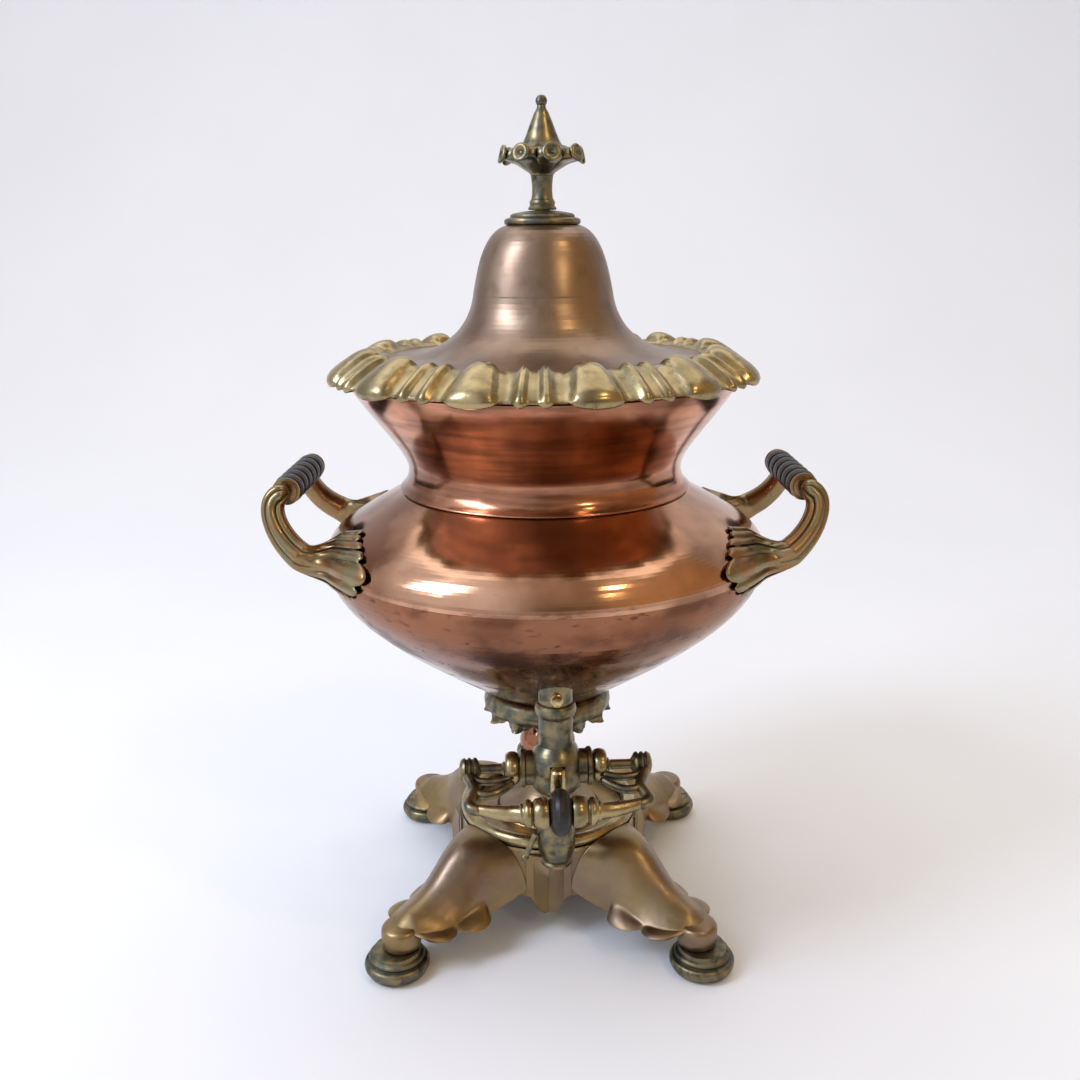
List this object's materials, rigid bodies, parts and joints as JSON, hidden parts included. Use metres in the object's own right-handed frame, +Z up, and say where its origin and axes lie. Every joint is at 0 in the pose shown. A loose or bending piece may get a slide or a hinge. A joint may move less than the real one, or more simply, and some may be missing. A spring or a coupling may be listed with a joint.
{
  "type": "tea urn",
  "caption": "Copper and brass tea urn with a bell lid, gadrooned rim, side handles, tap with a swinging key and scalloped legs on turned feet; an iron in an inner socket heats it.",
  "frame": {"origin": "on the floor, on the upright axis of the bowl, midway between the feet", "axes": "+Z up, -Y towards the side with the tap, +X towards the handle on the right of the tap"},
  "size_m": [0.3256, 0.268, 0.4998],
  "materials": {
    "copper": "polished copper with dark streaks",
    "lid_copper": "brown patinated copper, satin polish",
    "brass": "aged brass with grey-green patina in the hollows",
    "bronze": "brown cast bronze, worn bright on the high parts",
    "ebony": "black stained hardwood, waxed",
    "iron": "dark oxidised iron"
  },
  "bodies": {
    "urn": {"bowl": "copper", "shoulder": "copper", "neck": "copper", "rim": "brass", "iron_socket": "copper", "leaf_collar": "brass", "knop": "copper", "stem_ring": "brass", "pedestal": "bronze", "tie_rod": "iron", "tie_nuts": "iron", "platform": "bronze", "platform_crown": "brass", "leg_front_left": "bronze", "leg_front_right": "bronze", "leg_rear_left": "bronze", "leg_rear_right": "bronze", "leg_screws": "iron", "foot_front_left": "brass", "foot_front_right": "brass", "foot_rear_left": "brass", "foot_rear_right": "brass", "foot_studs": "iron", "arm_front_left": "brass", "arm_rear_left": "brass", "arm_front_right": "brass", "arm_rear_right": "brass", "grip_left": "ebony", "grip_right": "ebony", "grip_rod_left": "iron", "grip_rod_right": "iron", "ferrules_left": "brass", "ferrules_right": "brass", "inlet_pipe": "brass", "pipe_nub": "brass", "valve_body": "brass", "body_screw": "brass", "nozzle": "brass", "nozzle_hook": "brass"},
    "lid": {"lid": "lid_copper", "lid_ring": "lid_copper", "finial_base": "brass", "finial_stem": "brass", "finial_flower": "brass", "finial_spire": "brass", "finial_rod": "iron", "finial_nut": "brass"},
    "socket_cap": {"socket_cap": "brass", "cap_knob": "brass"},
    "iron": {"heating_iron": "iron"},
    "key": {"plug": "brass", "plug_caps": "brass", "key_arm_left": "brass", "key_arm_right": "brass", "key_bar": "brass", "key_bead": "ebony"}
  },
  "joints": [
    {"name": "lid_lift", "type": "slide", "parent": "urn", "child": "lid", "axis": [0, 0, 1], "range_m": [0, 0.12]},
    {"name": "cap_lift", "type": "slide", "parent": "urn", "child": "socket_cap", "axis": [0, 0, 1], "range_m": [0, 0.05]},
    {"name": "iron_lift", "type": "slide", "parent": "urn", "child": "iron", "axis": [0, 0, 1], "range_m": [0, 0.04]},
    {"name": "key_turn", "type": "hinge", "parent": "urn", "child": "key", "pos_m": [0.00476, -0.07785, 0.127], "axis": [-0.9981, -0.061, 0], "range_deg": [0, 55]}
  ]
}
